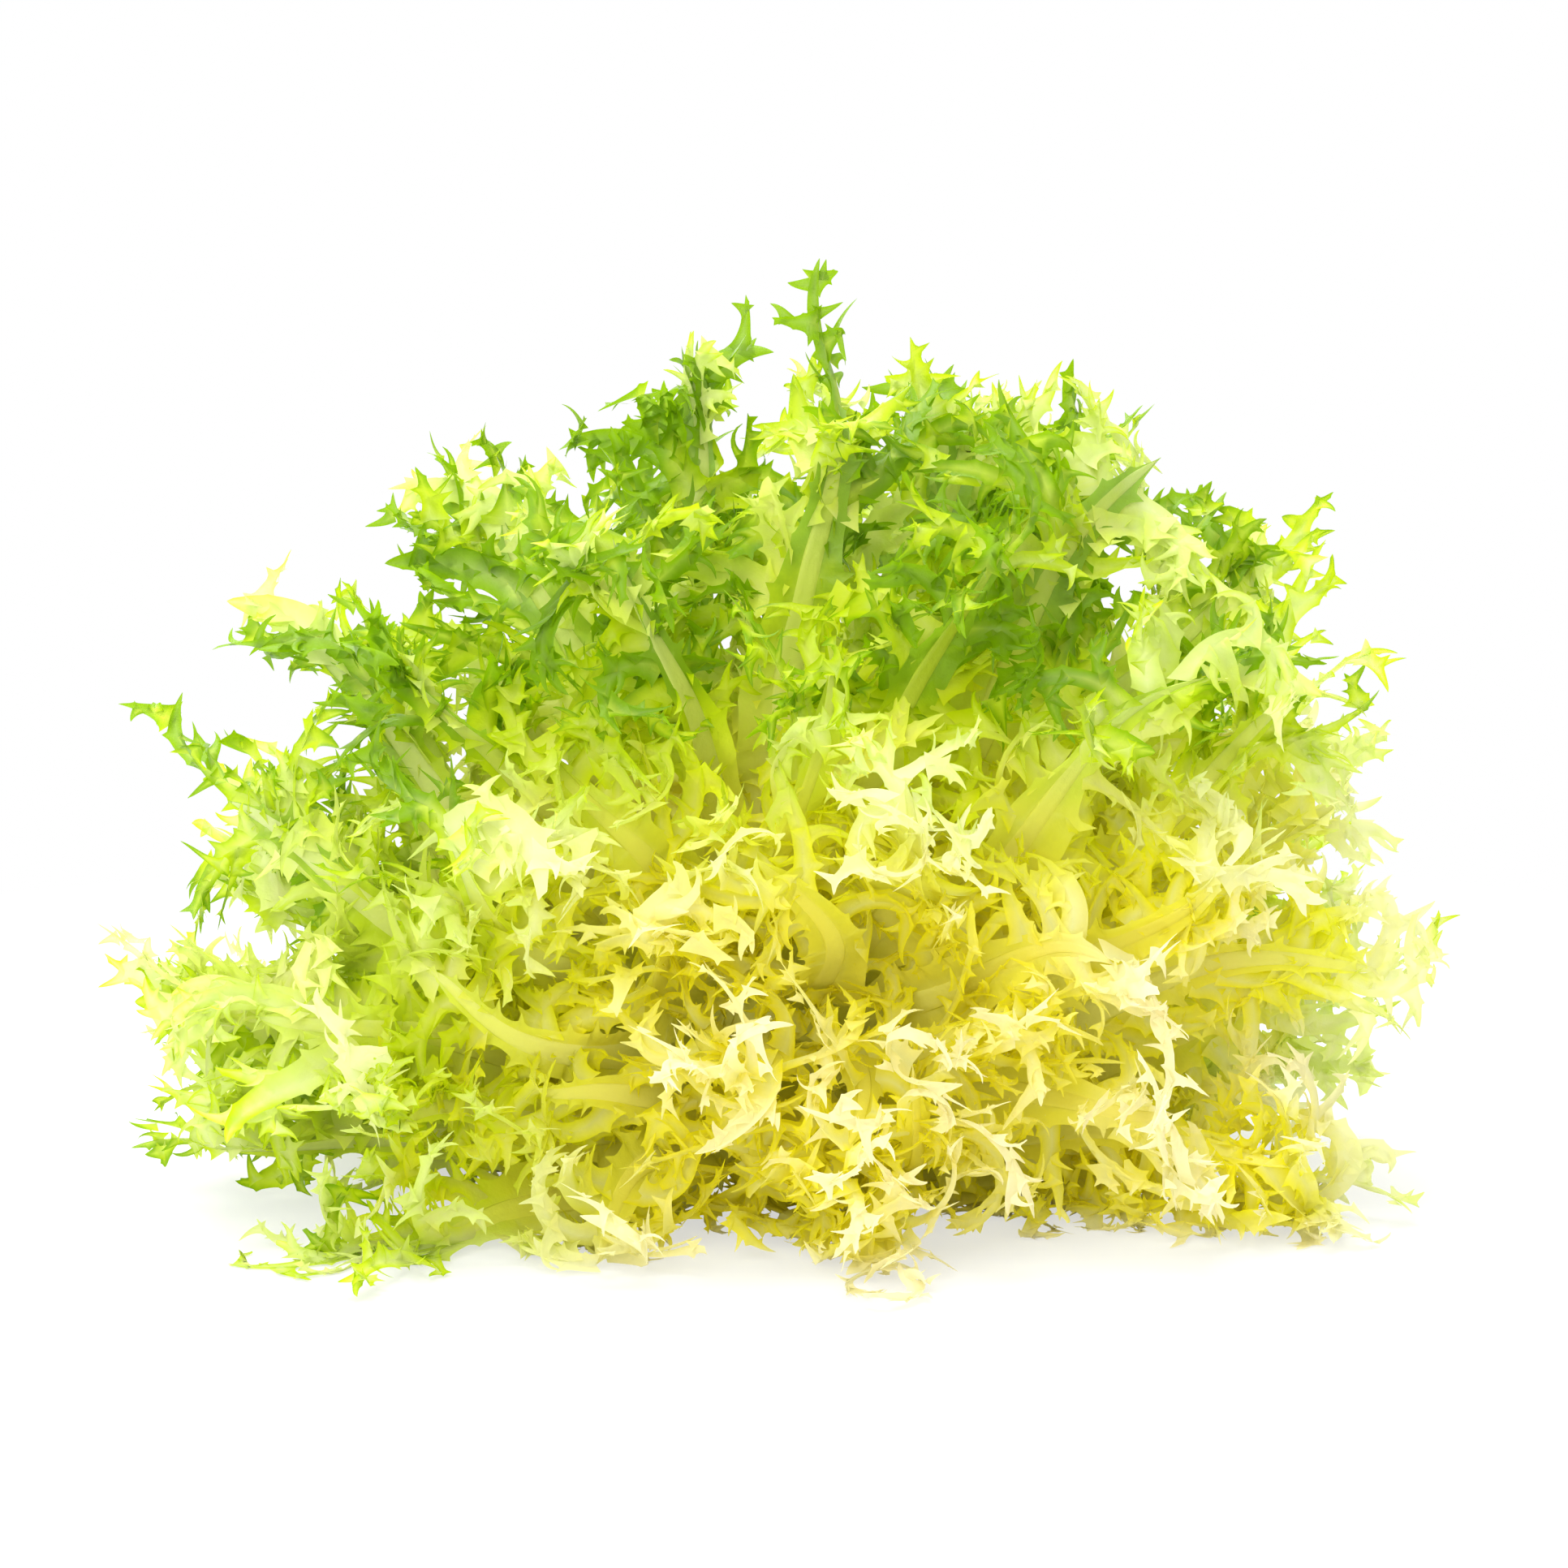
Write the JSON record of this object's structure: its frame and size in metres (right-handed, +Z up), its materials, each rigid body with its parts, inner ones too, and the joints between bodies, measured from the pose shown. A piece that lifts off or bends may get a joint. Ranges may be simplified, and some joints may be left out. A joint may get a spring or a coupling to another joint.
{
  "type": "curly endive head",
  "caption": "Curly endive head lying on its side: frilly, narrow green outer leaves opening round a pale yellow heart, on a short cut core.",
  "frame": {"origin": "middle of the head's outline, on the surface that it lies on", "axes": "+X to the right across the leaves, -Y towards the heart, +Z up from the surface"},
  "size_m": [0.2882, 0.1874, 0.1939],
  "materials": {
    "core": "satin, moist cream-white stalk",
    "heart": "satin, thin translucent pale yellow leaf",
    "inner": "satin, thin translucent yellow leaf with pale ribs",
    "middle": "satin, thin translucent yellow-green leaf with pale ribs",
    "outer": "satin, thin translucent green leaf with pale ribs"
  },
  "bodies": {
    "root": {"core": "core", "heart_leaf_01": "heart", "heart_leaf_02": "heart", "heart_leaf_03": "heart", "heart_leaf_04": "heart", "heart_leaf_05": "heart", "heart_leaf_06": "heart", "heart_leaf_07": "heart", "heart_leaf_08": "heart", "heart_leaf_09": "heart", "inner_leaf_01": "inner", "inner_leaf_02": "inner", "inner_leaf_03": "inner", "inner_leaf_04": "inner", "inner_leaf_05": "inner", "inner_leaf_06": "inner", "inner_leaf_07": "inner", "inner_leaf_08": "inner", "inner_leaf_09": "inner", "inner_leaf_10": "inner", "inner_leaf_11": "inner", "inner_leaf_12": "inner", "inner_leaf_13": "inner", "inner_leaf_14": "inner", "middle_leaf_01": "middle", "middle_leaf_02": "middle", "middle_leaf_03": "middle", "middle_leaf_04": "middle", "middle_leaf_05": "middle", "middle_leaf_06": "middle", "middle_leaf_07": "middle", "middle_leaf_08": "middle", "middle_leaf_09": "middle", "middle_leaf_10": "middle", "middle_leaf_11": "middle", "middle_leaf_12": "middle", "middle_leaf_13": "middle", "middle_leaf_14": "middle", "middle_leaf_15": "middle", "middle_leaf_16": "middle", "outer_leaf_01": "outer", "outer_leaf_02": "outer", "outer_leaf_03": "outer", "outer_leaf_04": "outer", "outer_leaf_05": "outer", "outer_leaf_06": "outer", "outer_leaf_07": "outer", "outer_leaf_08": "outer", "outer_leaf_09": "outer", "outer_leaf_10": "outer", "outer_leaf_11": "outer", "outer_leaf_12": "outer", "outer_leaf_13": "outer", "outer_leaf_14": "outer", "outer_leaf_15": "outer", "outer_leaf_16": "outer", "outer_leaf_17": "outer"}
  },
  "joints": []
}
